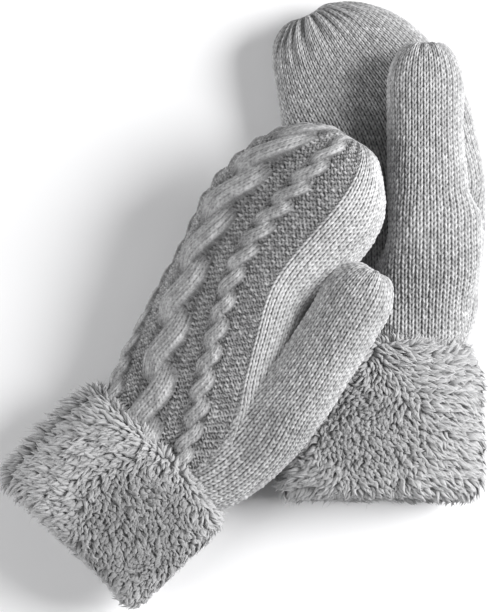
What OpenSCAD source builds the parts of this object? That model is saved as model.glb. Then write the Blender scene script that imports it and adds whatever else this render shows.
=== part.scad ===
// A pair of lined, cable-knit mittens with turned-back pile cuffs.
// The right mitten lies palm up and the left one lies across it, back up.
// Each mitten is built from cloth layers: knitted outside, fleece lining, cuff panels and threads.

/* [Fabric] */
// Thickness of the knitted fabric
knit_t = 3; // [2.5:0.5:3.5]
// Thickness of the fleece lining
fleece_t = 4; // [3:0.5:4.5]
// Clear space between two layers of cloth
layer_gap = 0.4; // [0.3:0.1:0.5]
// Thickness of the yarn that draws the tips closed
yarn_d = 1.8; // [1.4:0.2:2.2]

/* [Left mitten] */
// Length from the cuff's upper edge to the fingertip
left_hand_l = 207; // [200:1:212]
// Thickness of the hand, back to palm
left_hand_t = 44; // [40:1:48]
// Length from the cuff's upper edge to the thumb's tip
left_thumb_l = 154; // [145:1:158]
// Width of the thumb
left_thumb_w = 38; // [34:1:40]
// Thickness of the thumb
left_thumb_t = 31; // [28:1:33]
// Width of the cuff
left_cuff_w = 108; // [104:1:114]
// Thickness of the cuff, back to palm
left_cuff_t = 55; // [52:1:58]
// Depth of the turned-back cuff
left_cuff_d = 70; // [60:1:80]

/* [Right mitten] */
// Length from the cuff's upper edge to the fingertip
right_hand_l = 192; // [186:1:200]
// Thickness of the hand, back to palm
right_hand_t = 34; // [30:1:36]
// Length from the cuff's upper edge to the thumb's tip
right_thumb_l = 170; // [160:1:175]
// Width of the thumb
right_thumb_w = 40; // [36:1:41]
// Thickness of the thumb
right_thumb_t = 30; // [28:1:32]
// Width of the cuff
right_cuff_w = 113; // [110:1:118]
// Thickness of the cuff, back to palm
right_cuff_t = 46; // [44:1:48]
// Depth of the turned-back cuff
right_cuff_d = 85; // [75:1:90]

/* [Hidden] */
LEFT = 0;
RIGHT = 1;
hand_l = [left_hand_l, right_hand_l];
hand_t = [left_hand_t, right_hand_t];
thumb_l = [left_thumb_l, right_thumb_l];
thumb_w = [left_thumb_w, right_thumb_w];
thumb_t = [left_thumb_t, right_thumb_t];
cuff_w = [left_cuff_w, right_cuff_w];
cuff_t = [left_cuff_t, right_cuff_t];
cuff_d = [left_cuff_d, right_cuff_d];
wrist_t = [37, 31];

// Where each wrist's middle is, and which way the hand points, clockwise from +Y
wrist_at = [[-48.7, -84.4, 26.5], [75.3, -23.4, 22]];
heading = [32, 0];
// The cuff is turned by this much more than the hand
cuff_turn = [13, 0];
// How far the hand's middle climbs towards the fingertip, drops after the cuff, and leans
climb = [40, 0];
drop = [0, -5];
lean = [0, -14];
// How far the hand is rolled, thumb side up
roll_max = [22, 0];

// Half widths of the hand on the little finger's side and on the thumb's side, by distance
little_side = [
    [[0, 45], [80, 51], [130, 57], [210, 58]],
    [[0, 46], [80, 46], [145, 50], [195, 52]],
];
thumb_side = [
    [[0, 40], [40, 38], [80, 33], [115, 29], [155, 40], [210, 43]],
    [[0, 45], [40, 55], [75, 60], [110, 59], [150, 55], [195, 45]],
];
little_round = [70, 40];
thumb_round = [50, 75];
face_round = 50;

// The thumb's middle: how far to the side, and above the hand's middle
thumb_in = [24, 24];
thumb_out = [55, 24.5];
thumb_low = [-2, 2];
thumb_high = [-2, 33];
thumb_bend = 65;
thumb_start = 8;
thumb_root = 64;
thumb_tip_round = 24;
web_w = [12, 6];
root_gap = 1.2;
// How far a cloth bag's inside is cut past its mouth
mouth_past = 8;
// Draw yarns lie in a pocket between the knitted tip and the lining's tip
tip_pocket = 5.5;

hand_n = 28;
thumb_n = 20;
bulk = 2.4;
cuff_bulk = 2.3;
floor_w = 400;
label_size = [22, 30, 0.6];

// ---- Curves ----
function clamp01(t) = max(0, min(1, t));
function ease(t) = let(u = clamp01(t)) u * u * (3 - 2 * u);
function key_index(s, keys, i = 0) =
    i >= len(keys) - 2 || s < keys[i + 1][0] ? i : key_index(s, keys, i + 1);
function key_slope(keys, i) =
    let(a = keys[max(i - 1, 0)], b = keys[min(i + 1, len(keys) - 1)])
    (b[1] - a[1]) / (b[0] - a[0]);
// A smooth curve through [distance, value] keys
function along(s, keys) =
    let(
        i = key_index(s, keys),
        h = keys[i + 1][0] - keys[i][0],
        t = clamp01((s - keys[i][0]) / h)
    )
    (2 * t ^ 3 - 3 * t ^ 2 + 1) * keys[i][1]
    + (t ^ 3 - 2 * t ^ 2 + t) * h * key_slope(keys, i)
    + (3 * t ^ 2 - 2 * t ^ 3) * keys[i + 1][1]
    + (t ^ 3 - t ^ 2) * h * key_slope(keys, i + 1);
// 1 along the body of a tube of length l, falling to 0 at its rounded tip
function tip_factor(s, l, r) =
    s <= l - r ? 1 : (1 - clamp01((s - l + r) / r) ^ 2.2) ^ (1 / 2.2);
// Stations from a to b, crowded towards the end as a quarter circle
function crowded(a, b, n) = [for (i = [1:n]) a + (b - a) * sin(90 * i / n)];
function middle_of(ring) = [for (k = [0:2]) [for (p = ring) p[k]] * [for (p = ring) 1 / len(ring)]];
function even(a, b, n) = [for (i = [0:n]) a + (b - a) * i / n];

// ---- Frames ----
function roll_at(side, s) = roll_max[side] * ease(s / 60);
function yaw_at(side, s) = cuff_turn[side] * (1 - ease(s / 50));
function climb_at(side, s) =
    climb[side] * (sqrt(max(s, 0) ^ 2 + 100) - 10) / (sqrt(hand_l[side] ^ 2 + 100) - 10);
function lean_at(side, s) = lean[side] * clamp01(s / hand_l[side]) ^ 2.5;
function middle_at(side, s) = s < 0
    ? [s * sin(cuff_turn[side]), s * cos(cuff_turn[side]), 0]
    : [lean_at(side, s), s, climb_at(side, s) + drop[side] * ease(s / 50)];
// A point x to the thumb's side and z above the middle at distance s, in the pair's own frame
function spot(side, s, x, z) =
    let(
        m = middle_at(side, s),
        r = roll_at(side, s),
        y = yaw_at(side, s),
        across = x * cos(r) - z * sin(r),
        up = x * sin(r) + z * cos(r),
        p = [m[0] + across * cos(y), m[1] - across * sin(y), m[2] + up],
        h = heading[side]
    )
    wrist_at[side] + [p[0] * cos(h) + p[1] * sin(h), p[1] * cos(h) - p[0] * sin(h), p[2]];
function power(v, e) = sign(v) * abs(v) ^ (2 / e);
// A closed outline whose two sides have their own half widths
function outline(side, s, x, z, little_r, thumb_r, half_t, e, n) = [
    for (i = [0:n - 1])
        let(c = power(cos(360 * i / n), e), d = power(sin(360 * i / n), e))
        spot(side, s, x + c * (c < 0 ? little_r : thumb_r), z + d * half_t)
];

// ---- Sections ----
function half_at(r, f, inset) = max(0.6, r * f - inset);
function hand_section(side, s, inset, shorter = 0) =
    let(
        l = hand_l[side] - inset - shorter,
        q = min(s, l),
        body = wrist_t[side] + (hand_t[side] - wrist_t[side]) * ease(q / 50)
    )
    outline(
        side, q, 0, 0,
        half_at(along(q, little_side[side]), tip_factor(q, l, little_round[side]), inset),
        half_at(along(q, thumb_side[side]), tip_factor(q, l, thumb_round[side]), inset),
        half_at(body / 2, tip_factor(q, l, face_round), inset),
        bulk, hand_n
    );
function thumb_x(side, s) =
    thumb_in[side] + (thumb_out[side] - thumb_in[side]) * (1 - (1 - clamp01(s / 75)) ^ 2)
    - lean_at(side, s);
function thumb_z(side, s) =
    thumb_low[side] + (thumb_high[side] - thumb_low[side]) * ease((s - 4) / (thumb_bend - 4));
// The web that joins the thumb's inner side to the hand below the crotch
function web_at(side, s) = web_w[side] * (1 - ease((s - 34) / 30));
function thumb_section(side, s, inset, shorter = 0) =
    let(
        l = thumb_l[side] - inset - shorter,
        q = min(s, l),
        f = tip_factor(q, l, thumb_tip_round)
    )
    outline(
        side, q, thumb_x(side, q), thumb_z(side, q),
        half_at(thumb_w[side] / 2, f, inset) + web_at(side, q),
        half_at(thumb_w[side] / 2, f, inset),
        half_at(thumb_t[side] / 2, f, inset),
        bulk, thumb_n
    );
function cuff_section(side, s) =
    let(
        u = clamp01(abs(2 * s / cuff_d[side] + 1)),
        f = 0.9 + 0.1 * (1 - u ^ 5) ^ (1 / 3)
    )
    outline(
        side, s, -1, 0, cuff_w[side] / 2 * f, cuff_w[side] / 2 * f, cuff_t[side] / 2 * f,
        cuff_bulk, hand_n
    );

function hand_stations(side, inset, shorter, from) =
    let(l = hand_l[side] - inset - shorter, body_l = hand_l[side] - 76)
    concat([from], even(0, body_l, 8), crowded(body_l, l - 0.3, 8));
function thumb_stations(side, from, inset, shorter = 0) =
    let(l = thumb_l[side] - inset - shorter, body_l = thumb_l[side] - 36)
    concat(even(from, body_l, 3), crowded(body_l, l - 0.2, 6));
// The knitted edge stops inside the cuff's fold
function fold_at(side) = 6 - cuff_d[side];

// ---- Solids ----
// A closed solid through a row of outlines that all have the same number of points
module loft(sections) {
    n = len(sections[0]);
    rows = len(sections);
    points = concat(
        [for (row = sections) each row],
        [middle_of(sections[0]), middle_of(sections[rows - 1])]
    );
    sides = [
        for (k = [0:rows - 2], i = [0:n - 1])
            let(j = (i + 1) % n, a = k * n, b = a + n)
            each [[a + i, a + j, b + i], [a + j, b + j, b + i]]
    ];
    start = [for (i = [0:n - 1]) [rows * n, (i + 1) % n, i]];
    end = [for (i = [0:n - 1]) [rows * n + 1, (rows - 1) * n + i, (rows - 1) * n + (i + 1) % n]];
    polyhedron(points = points, faces = concat(sides, start, end), convexity = 6);
}
// The hand's closed shape; an inside runs out past the mouth
module hand_bag(side, inset, shorter = 0, open_by = 0) {
    stations = hand_stations(side, inset, shorter, fold_at(side) - open_by);
    loft([for (s = stations) hand_section(side, s, inset, shorter)]);
}
// The hand's own part of the thumb, from inside the palm to the thumb's root
module gusset(side, inset, past = 0) {
    loft([
        for (s = even(thumb_start + inset, thumb_root + past, 7)) thumb_section(side, s, inset)
    ]);
}
module thumb_bag(side, from, inset, shorter = 0) {
    loft([
        for (s = thumb_stations(side, from, inset, shorter)) thumb_section(side, s, inset, shorter)
    ]);
}
// The wrist's outline as a straight tube that runs past both ends
module wrist_core(side, inset, from, to) {
    loft([hand_section(side, from, inset), hand_section(side, to, inset)]);
}
module below_floor() {
    translate([-floor_w / 2, -floor_w / 2, -floor_w]) cube([floor_w, floor_w, floor_w]);
}
// Everything above height z, or everything below it
module half_space(z, up) {
    translate([-floor_w / 2, -floor_w / 2, up ? z : z - floor_w]) cube([floor_w, floor_w, floor_w]);
}

module knit_hand(side) {
    difference() {
        union() {
            hand_bag(side, 0);
            gusset(side, 0);
        }
        hand_bag(side, knit_t, 0, mouth_past);
        gusset(side, knit_t, 1);
        below_floor();
    }
}
module knit_thumb(side) {
    difference() {
        thumb_bag(side, thumb_root + root_gap, 0);
        thumb_bag(side, thumb_root, knit_t);
    }
}
module fleece_hand(side) {
    outside = knit_t + layer_gap;
    inside = outside + fleece_t;
    difference() {
        union() {
            hand_bag(side, outside, tip_pocket);
            gusset(side, outside);
        }
        hand_bag(side, inside, tip_pocket, mouth_past);
        gusset(side, inside, 1);
    }
}
module fleece_thumb(side) {
    outside = knit_t + layer_gap;
    difference() {
        thumb_bag(side, thumb_root + root_gap, outside, tip_pocket);
        thumb_bag(side, thumb_root, outside + fleece_t, tip_pocket);
    }
}
// One half of the cuff: pile outside the wrist, turned in under the knitted edge
module cuff_panel(side, up) {
    seam_half = 0.7;
    difference() {
        loft([
            for (i = [0:8]) cuff_section(side, -cuff_d[side] * (1 + cos(22.5 * i)) / 2)
        ]);
        wrist_core(side, -layer_gap, fold_at(side) - 2, 0.5);
        wrist_core(side, knit_t + layer_gap + fleece_t, -cuff_d[side] - 1, 0.5);
        half_space(wrist_at[side][2] + (up ? seam_half : -seam_half), !up);
        below_floor();
    }
}
// Sewing thread between the two panels, at both sides of the cuff
module cuff_side_seams(side) {
    thread_half = 0.35;
    for (edge = [-1, 1])
        hull()
            for (s = [8 - cuff_d[side], -8], r = [0, 3], z = [-thread_half, thread_half])
                let(reach = edge < 0 ? -little_side[side][0][1] - 2 - r : thumb_side[side][0][1] + 2 + r)
                translate(spot(side, s, reach, z)) cube(0.02, center = true);
}
// Thread that sews the knitted edge and the lining into the fold
module cuff_fold_seam(side) {
    difference() {
        wrist_core(side, 0.8, fold_at(side) - 1.6, fold_at(side) - 0.4);
        wrist_core(side, 2.0, fold_at(side) - 2, fold_at(side));
    }
}
// A ring of yarn, pulled tight, across the direction from spot a to spot b
module draw_ring(a, b, ring_r) {
    d = b - a;
    translate(b)
        rotate([0, acos(d[2] / norm(d)), atan2(d[1], d[0])])
            rotate_extrude($fn = 48) translate([ring_r, 0]) circle(d = yarn_d, $fn = 24);
}
module tip_draw_yarn(side) {
    l = hand_l[side] - knit_t - 4.3;
    draw_ring(spot(side, l - 1, 0, 0), spot(side, l, 0, 0), 2.2);
}
module thumb_draw_yarn(side) {
    l = thumb_l[side] - knit_t - 2.5;
    x = thumb_x(side, l);
    z = thumb_z(side, l);
    draw_ring(spot(side, l - 1, x, z), spot(side, l, x, z), 1.6);
}
// A blank label, sewn flat against the lining on the palm's side of the wrist
module care_label(side) {
    lining_z = wrist_t[side] / 2 - knit_t - layer_gap - fleece_t;
    at = spot(side, -24, 0, 1.1 - lining_z);
    translate(at)
        rotate([0, 0, -heading[side] - cuff_turn[side]])
            cube(label_size, center = true);
}

knit_colour = [0.62, 0.62, 0.63];
fleece_colour = [0.75, 0.75, 0.76];
pile_colour = [0.52, 0.52, 0.53];
thread_colour = [0.45, 0.45, 0.46];
label_colour = [0.92, 0.92, 0.9];

color(knit_colour) knit_hand(LEFT);  // left_knit_hand
color(knit_colour) knit_thumb(LEFT);  // left_knit_thumb
color(fleece_colour) fleece_hand(LEFT);  // left_fleece_hand
color(fleece_colour) fleece_thumb(LEFT);  // left_fleece_thumb
color(pile_colour) cuff_panel(LEFT, true);  // left_cuff_back_panel
color(pile_colour) cuff_panel(LEFT, false);  // left_cuff_palm_panel
color(thread_colour) cuff_side_seams(LEFT);  // left_cuff_side_seams
color(thread_colour) cuff_fold_seam(LEFT);  // left_cuff_fold_seam
color(thread_colour) tip_draw_yarn(LEFT);  // left_tip_draw_yarn
color(thread_colour) thumb_draw_yarn(LEFT);  // left_thumb_draw_yarn
color(label_colour) care_label(LEFT);  // left_care_label
color(knit_colour) knit_hand(RIGHT);  // right_knit_hand
color(knit_colour) knit_thumb(RIGHT);  // right_knit_thumb
color(fleece_colour) fleece_hand(RIGHT);  // right_fleece_hand
color(fleece_colour) fleece_thumb(RIGHT);  // right_fleece_thumb
color(pile_colour) cuff_panel(RIGHT, true);  // right_cuff_palm_panel
color(pile_colour) cuff_panel(RIGHT, false);  // right_cuff_back_panel
color(thread_colour) cuff_side_seams(RIGHT);  // right_cuff_side_seams
color(thread_colour) cuff_fold_seam(RIGHT);  // right_cuff_fold_seam
color(thread_colour) tip_draw_yarn(RIGHT);  // right_tip_draw_yarn
color(thread_colour) thumb_draw_yarn(RIGHT);  // right_thumb_draw_yarn
color(label_colour) care_label(RIGHT);  // right_care_label
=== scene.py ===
"""A pair of lined cable-knit mittens with curly pile cuffs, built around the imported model.

Lengths in the shape code are millimetres, as in the part's own source; meshes are made in metres.
"""
import math

import bpy
import numpy as np
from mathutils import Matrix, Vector


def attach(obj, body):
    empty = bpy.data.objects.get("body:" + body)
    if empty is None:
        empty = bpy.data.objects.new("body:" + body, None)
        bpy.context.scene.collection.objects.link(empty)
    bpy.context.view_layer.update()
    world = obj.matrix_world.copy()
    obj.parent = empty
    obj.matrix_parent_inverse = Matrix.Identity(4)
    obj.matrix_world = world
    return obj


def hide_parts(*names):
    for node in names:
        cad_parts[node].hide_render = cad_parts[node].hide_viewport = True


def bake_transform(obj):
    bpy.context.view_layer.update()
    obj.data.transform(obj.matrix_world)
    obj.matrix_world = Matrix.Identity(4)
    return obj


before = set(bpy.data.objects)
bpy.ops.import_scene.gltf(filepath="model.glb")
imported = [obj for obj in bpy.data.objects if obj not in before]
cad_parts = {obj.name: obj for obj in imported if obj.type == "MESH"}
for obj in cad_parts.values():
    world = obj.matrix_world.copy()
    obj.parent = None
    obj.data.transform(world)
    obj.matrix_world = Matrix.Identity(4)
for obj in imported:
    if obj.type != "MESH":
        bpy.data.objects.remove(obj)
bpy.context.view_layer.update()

MM = 0.001
rng = np.random.default_rng(7)  # the pile's random numbers, the same in each run

# ---- Sizes, the same as the part's ----
BULK = 2.4  # a hand's or thumb's section: 2 is an ellipse, more is squarer
CUFF_BULK = 2.3
THUMB_BEND = 65.0
FACE_ROUND = 50.0  # how far before the fingertips the hand starts to thin
KNIT_T = 3.0
LINING_IN = 7.4  # from the knit's outside to the lining's inside
TIP_POCKET = 5.5  # the linings are this much shorter than the knit
LABEL_SIZE = (22.0, 30.0)

MITTENS = {
    "left": dict(
        hand_l=207, hand_t=44, thumb_l=149, thumb_w=38, thumb_t=31,
        cuff_w=108, cuff_t=55, cuff_d=70, wrist_t=37,
        wrist_at=(-48.7, -84.4, 26.5), heading=32, cuff_turn=13,
        climb=40, drop=0, lean=0, roll_max=22,
        little_side=[[0, 45], [80, 51], [130, 57], [210, 58]],
        thumb_side=[[0, 40], [40, 38], [80, 33], [115, 29], [155, 40], [210, 43]],
        little_round=70, thumb_round=50,
        thumb_in=24, thumb_out=52, thumb_low=-2, thumb_high=-2, web_w=12, thumb_round_tip=24.0,
    ),
    "right": dict(
        hand_l=192, hand_t=34, thumb_l=170, thumb_w=40, thumb_t=30,
        cuff_w=113, cuff_t=46, cuff_d=85, wrist_t=31,
        wrist_at=(75.3, -23.4, 22), heading=0, cuff_turn=0,
        climb=0, drop=-5, lean=-14, roll_max=0,
        little_side=[[0, 46], [80, 46], [145, 50], [195, 52]],
        thumb_side=[[0, 45], [40, 55], [75, 60], [110, 59], [150, 55], [195, 45]],
        little_round=40, thumb_round=75,
        thumb_in=24, thumb_out=24.5, thumb_low=2, thumb_high=33, web_w=6, thumb_round_tip=30.0,
    ),
}

# What only the visual model has. Places are (s, x, z) in the mitten's own frame
LOOKS = {
    "left": dict(
        # stitch columns, and the knit hand's length over the CAD's
        columns=66, thumb_columns=34, longer=-3,
        # the tip's rings tilt this many degrees from tilt_from on; without a tilt, where the last ring is
        tip_tilt=0.0, tilt_from=0.0, last_station=203.7,
        # the cable panel: its share round the hand, its last purl column, and [s, shift] keys
        panel_turn=0.0, panel_edge=16.0,
        panel_keys=[
            [0, -15.5], [25, -17], [50, -21], [80, -30], [111, -38], [142, -36], [172, -31], [207, -27],
        ],
        # where the hand's mesh is parted, painted light on the plain knit beside the cable panel (a paler
        # strip), and the thumb root's extra width
        split_column=17.5, pale=0.26, flare=0,
        # the drawn-up tip
        pleat_columns=4, pleat_depth=1.0, pleat_reach=34, pucker=0.7,
        # the soft join of hand and thumb, and presses: (place, depth, reach)
        join_least=7, join_extra=3, dimples=[((193, 30.3, -5.8), 2.6, 15.0)],
        # the cuff's seams as shares round it, how much shorter it is, and its corners' rounding
        cuff_seams=[0.25, 0.79], cuff_trim=0, corner=0,
        # its locks: gap, lean, how alike root and tip are in the painted shade at the roots, and the painted
        # shade of curled pile against combed pile
        tuft_gap=2.08, pile_lean=0.5, pile_soft=0.0, pile_tones=(-0.12, 0.85),
        # where the pile curls tightly (s, x), how far, and how much the rest is combed to the mouth
        curly_at=(-38, 24), curly_size=22, comb_down=0.7,
        # how much the side band and the edges stand up
        side_band=1.0, edge_stand=0.3,
    ),
    "right": dict(
        columns=74, thumb_columns=35, longer=4,
        tip_tilt=25.0, tilt_from=90.0,
        panel_turn=0.5, panel_edge=14.8, panel_keys=[[0, 0], [200, 0]],
        split_column=18.5, pale=0.0, flare=10.5,
        pleat_columns=3, pleat_depth=2.3, pleat_reach=46, pucker=2.2,
        join_least=4.5, join_extra=10.5, dimples=[((80, 55, 9), 4.5, 8.0), ((118, 46, 12), 2.0, 14.0)],
        cuff_seams=[0.25, 0.75], cuff_trim=2.5, corner=4.5,
        tuft_gap=2.16, pile_lean=-0.6, pile_soft=0.35, pile_tones=(0.0, 0.42),
        curly_at=(-50, -8), curly_size=14, comb_down=0.15,
        side_band=0.0, edge_stand=1.0,
    ),
}


# ---- Small maths ----
def clamp01(t):
    return np.clip(t, 0.0, 1.0)


def ease(t):
    u = clamp01(t)
    return u * u * (3 - 2 * u)


def along(s, keys):
    """A smooth curve through [distance, value] keys."""
    xs, ys = np.array(keys, float).T
    n = len(xs)
    slope = np.array([
        (ys[min(i + 1, n - 1)] - ys[max(i - 1, 0)]) / (xs[min(i + 1, n - 1)] - xs[max(i - 1, 0)])
        for i in range(n)
    ])
    i = np.clip(np.searchsorted(xs, s, "right") - 1, 0, n - 2)
    h = xs[i + 1] - xs[i]
    t = clamp01((s - xs[i]) / h)
    return (
        (2 * t**3 - 3 * t**2 + 1) * ys[i] + (t**3 - 2 * t**2 + t) * h * slope[i]
        + (3 * t**2 - 2 * t**3) * ys[i + 1] + (t**3 - t**2) * h * slope[i + 1]
    )


def bell(x, width):
    return np.exp(-((x / width) ** 2))


def tip_factor(s, length, r):
    return (1 - clamp01((s - length + r) / r) ** 2.2) ** (1 / 2.2)


def unit(v, least=1e-6):
    return v / np.maximum(np.linalg.norm(v, axis=-1, keepdims=True), least)


def summed(steps):
    """Distances from the start, from the steps between points."""
    return np.concatenate([[0], np.cumsum(steps)])


def hashed(*values):
    """A repeatable random number from 0 to 1 for each set of whole numbers."""
    h = np.zeros(np.broadcast(*values).shape)
    for v, k in zip(values, (127.1, 311.7, 74.7)):
        h = h + np.round(v) * k
    return np.abs(np.sin(h) * 43758.5453) % 1.0


def smooth_noise(p, scale, seed):
    """Value noise from -1 to 1 at points p, with features of about that scale."""
    q = np.asarray(p) / scale + seed * 17.3
    cell = np.floor(q)
    f = q - cell
    f = f * f * (3 - 2 * f)
    total = 0.0
    for corner in np.ndindex(2, 2, 2):
        c = np.array(corner)
        w = np.prod(np.where(c == 1, f, 1 - f), axis=-1)
        k = cell + c
        total = total + w * hashed(k[..., 0], k[..., 1], k[..., 2] + seed * 31)
    return total * 2 - 1


# ---- The mitten's frame: distance s from the wrist, x to the thumb's side, z to the back ----
class Mitten:
    def __init__(self, name):
        self.name = name
        self.__dict__.update(MITTENS[name], **LOOKS[name])
        self.palm_up = name == "right"
        self.h = math.radians(self.heading)
        self.turn = math.radians(self.cuff_turn)

    def roll(self, s):
        return np.radians(self.roll_max) * ease(s / 60)

    def yaw(self, s):
        return self.turn * (1 - ease(s / 50))

    def lean_at(self, s):
        return self.lean * clamp01(s / self.hand_l) ** 2.5

    def middle(self, s):
        rise = (np.sqrt(np.maximum(s, 0) ** 2 + 100) - 10) / (math.hypot(self.hand_l, 10) - 10)
        return (
            np.where(s < 0, s * math.sin(self.turn), self.lean_at(s)),
            np.where(s < 0, s * math.cos(self.turn), s),
            np.where(s < 0, 0, self.climb * rise + self.drop * ease(s / 50)),
        )

    def spot(self, s, x, z):
        """Points in the pair's frame from the mitten's own coordinates."""
        s, x, z = np.broadcast_arrays(np.asarray(s, float), x, z)
        m0, m1, m2 = self.middle(s)
        r, y = self.roll(s), self.yaw(s)
        across = x * np.cos(r) - z * np.sin(r)
        up = x * np.sin(r) + z * np.cos(r)
        p0, p1 = m0 + across * np.cos(y), m1 - across * np.sin(y)
        c, d = math.cos(self.h), math.sin(self.h)
        w = self.wrist_at
        return np.stack([w[0] + p0 * c + p1 * d, w[1] + p1 * c - p0 * d, w[2] + m2 + up], -1)

    def locate(self, p):
        """The mitten's own coordinates (s, x, z) of points in the pair's frame."""
        q = p - np.array(self.wrist_at)
        c, d = math.cos(self.h), math.sin(self.h)
        p0, p1 = q[..., 0] * c - q[..., 1] * d, q[..., 0] * d + q[..., 1] * c
        behind = p0 * math.sin(self.turn) + p1 * math.cos(self.turn)
        s = np.maximum(p1, 0)
        for _ in range(8):
            y = self.yaw(s)
            across = (p0 - self.middle(s)[0]) / np.cos(y)
            s = np.maximum(p1 + across * np.sin(y), 0)
        s = np.where(behind < 0, behind, s)
        y = self.yaw(s)
        across = np.where(
            behind < 0, p0 * math.cos(self.turn) - p1 * math.sin(self.turn),
            (p0 - self.middle(s)[0]) / np.cos(y),
        )
        up, r = q[..., 2] - self.middle(s)[2], self.roll(s)
        return s, across * np.cos(r) + up * np.sin(r), up * np.cos(r) - across * np.sin(r)

    # Half sizes of the hand and thumb at s, with the surface moved in by inset
    def hand_half(self, s, inset, shorter=0.0):
        length = self.hand_l - inset - shorter
        q = np.minimum(s, length)
        body = self.wrist_t + (self.hand_t - self.wrist_t) * ease(q / 50)
        return (
            np.maximum(0.6, along(q, self.little_side) * tip_factor(q, length, self.little_round) - inset),
            np.maximum(0.6, along(q, self.thumb_side) * tip_factor(q, length, self.thumb_round) - inset),
            np.maximum(0.6, body / 2 * tip_factor(q, length, FACE_ROUND) - inset),
        )

    def thumb_half(self, s, inset, shorter=0.0):
        length = self.thumb_l - inset - shorter
        f = tip_factor(np.minimum(s, length), length, self.thumb_round_tip)
        wide = np.maximum(0.6, self.thumb_w / 2 * f - inset)
        web = self.web_w * (1 - ease((s - 34) / 30))
        flare = self.flare * (0.24 * ease((118 - s) / 30) + 0.76 * ease((88 - s) / 20)) * ease(s / 55)
        return wide + web, wide + flare, np.maximum(0.6, self.thumb_t / 2 * f - inset)

    def thumb_x(self, s):
        reach = 1 - (1 - clamp01(s / 75)) ** 2
        return self.thumb_in + (self.thumb_out - self.thumb_in) * reach - self.lean_at(s)

    def thumb_z(self, s):
        rise = ease((s - 4) / (THUMB_BEND - 4))
        return self.thumb_low + (self.thumb_high - self.thumb_low) * rise

    def cuff_half(self, s):
        u = clamp01(abs(2 * s / self.cuff_d + 1))
        f = 0.9 + 0.1 * (1 - u**5) ** (1 / 3)
        return self.cuff_w / 2 * f, self.cuff_w / 2 * f, self.cuff_t / 2 * f


def section_depth(x, z, halves):
    """How far a point is outside a section, in mm; negative inside."""
    little, thumb, face = halves
    a = np.where(x < 0, little, thumb)
    rho = ((np.abs(x) / a) ** BULK + (np.abs(z) / face) ** BULK) ** (1 / BULK) + 1e-9
    return np.hypot(x, z) * (1 - 1 / rho)


def depth_in_hand(m, p, inset=0.0):
    s, x, z = m.locate(p)
    past = np.maximum(0, s - (m.hand_l - inset))
    return section_depth(x, z, m.hand_half(s, inset)) + past


def depth_in_thumb(m, p, inset=0.0):
    s, x, z = m.locate(p)
    past = np.maximum(0, s - (m.thumb_l - inset)) + np.maximum(0, -8 - s)
    return section_depth(x - m.thumb_x(s), z - m.thumb_z(s), m.thumb_half(s, inset)) + past


# ---- Rings ----
def outline(halves, n, bulk=BULK):
    """Local (x, z) of a closed section outline, from the top and round over the thumb's side."""
    t = np.linspace(0, 2 * np.pi, n, endpoint=False)
    d, c = np.cos(t), np.sin(t)
    little, thumb, face = halves
    px = np.sign(c) * np.abs(c) ** (2 / bulk) * np.where(c < 0, little, thumb)
    pz = np.sign(d) * np.abs(d) ** (2 / bulk) * face
    return px, pz


def spread(ring, n, start=0.0):
    """A closed ring with n points spaced evenly by length, from a share of its length on."""
    closed = np.vstack([ring, ring[:1]])
    length = summed(np.linalg.norm(np.diff(closed, axis=0), axis=1))
    at = ((np.arange(n) / n + start) % 1.0) * length[-1]
    return np.stack([np.interp(at, length, closed[:, k]) for k in range(3)], -1)


def even_stations(points_at, stations, gap):
    """Stations between the same ends whose rings lie about gap apart."""
    rings = [points_at(v) for v in stations]
    length = summed([np.mean(np.linalg.norm(b - a, axis=1)) for a, b in zip(rings, rings[1:])])
    n = max(2, int(round(length[-1] / gap)))
    return np.interp(np.linspace(0, length[-1], n + 1), length, stations)


def grid_normals(p):
    """Normals of a grid of rings whose second axis is closed."""
    around = np.roll(p, -1, axis=1) - np.roll(p, 1, axis=1)
    return unit(np.cross(around, np.gradient(p, axis=0)), 1e-9)


# ---- Stitches: (height in mm over the fabric's mean surface, how far up its own yarn a point is, used in the knit's colour as painted shade: lower is darker) ----
COLUMN_W = 3.45
ROW_H = 3.0
STITCH_H = 1.6  # a stitch's height
LEG_ROWS = 1.42  # rows that one leg of a V spans
PURL_SETS = ((0.0, 0.30, 1.0), (0.5, -0.34, 0.85))  # shift, slant and size of the two sets of dashes
PURL_LONG, PURL_WIDE = 0.56, 0.27  # half sizes of a dash
SWING, STRAND_HALF = 0.46, 0.55  # a strand's sideways swing and half width, as shares of its rope's
NARROW_AT = 8.8  # columns from the panel's middle
NARROW_ROPE = dict(half=2.15, rows=5.0, strand_cols=3, height=3.3)
WIDE_ROPE = dict(half=3.85, rows=10.4, strand_cols=4, height=5.6)
PURL_TO, PANEL_TO = 14.8, 15.2


def stockinette(c, r):
    """Columns of V stitches. c counts columns and r counts rows."""
    x = np.abs(c - np.round(c))
    side = np.sign(c - np.round(c))
    up = np.zeros(x.shape)
    for back in (0, 1):
        row = np.floor(r) - back
        t = (r - row) / LEG_ROWS
        belly = np.sqrt(np.maximum(0, np.sin(np.pi * clamp01(t))))
        lean = 0.06 + 0.33 * clamp01(t) + 0.05 * (hashed(np.round(c), row, side + 5) - 0.5)
        off = (x - lean) / (0.05 + 0.21 * belly)
        uneven = 0.82 + 0.36 * hashed(np.round(c), row, side)
        up = np.maximum(up, np.sqrt(np.maximum(0, 1 - off**2)) * (0.2 + 0.8 * belly) * (t < 1) * uneven)
    return STITCH_H * (up - 0.5), up


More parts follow.
